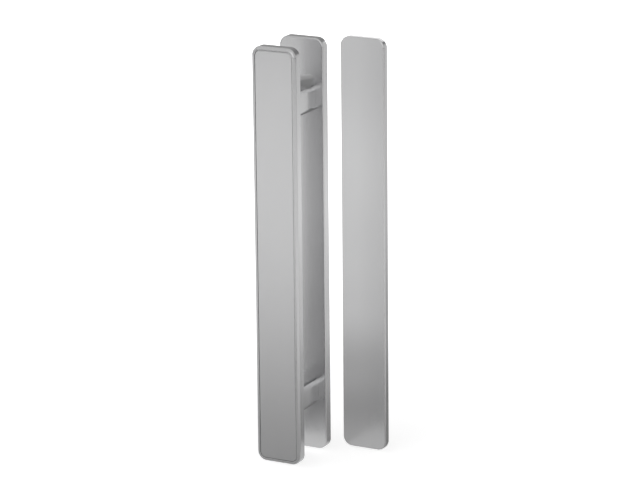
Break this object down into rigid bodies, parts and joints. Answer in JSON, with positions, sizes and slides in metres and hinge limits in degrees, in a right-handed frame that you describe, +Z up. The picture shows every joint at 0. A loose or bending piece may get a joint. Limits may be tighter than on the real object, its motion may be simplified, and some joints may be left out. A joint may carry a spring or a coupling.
{
  "type": "glass door pull handle",
  "caption": "Flat-bar pull for a glass door: a grip plate with an inlaid face panel on posts, a full-length base plate, and a loose counter plate for the far side of the glass.",
  "frame": {"origin": "centre of the base gasket's glass-side face, on the plane of the glass", "axes": "+Y points from the hand into the glass, +Z up along the plates, +X to the right as the pull is seen from the hand's side"},
  "size_m": [0.086, 0.0725, 0.35],
  "materials": {
    "satin_metal": "satin anodised, very fine upright grain",
    "satin_panel": "satin anodised flat panel",
    "post_metal": "satin anodised, smooth",
    "bolt_steel": "plain stainless fasteners",
    "gasket_rubber": "black sheet rubber, matte",
    "bush_plastic": "natural white nylon",
    "insert_brass": "machined brass",
    "panel_tape": "double-sided foam tape"
  },
  "bodies": {
    "root": {"base_gasket": "gasket_rubber", "base_plate": "satin_metal", "counter_gasket": "gasket_rubber", "counter_plate": "satin_metal", "grip_panel": "satin_panel", "grip_plate": "satin_metal", "lower_base_pin": "bolt_steel", "lower_glass_bush": "bush_plastic", "lower_left_grip_pin": "bolt_steel", "lower_post": "post_metal", "lower_right_grip_pin": "bolt_steel", "lower_threaded_insert": "insert_brass", "lower_through_bolt": "bolt_steel", "panel_tape": "panel_tape", "upper_base_pin": "bolt_steel", "upper_glass_bush": "bush_plastic", "upper_left_grip_pin": "bolt_steel", "upper_post": "post_metal", "upper_right_grip_pin": "bolt_steel", "upper_threaded_insert": "insert_brass", "upper_through_bolt": "bolt_steel"}
  },
  "joints": []
}
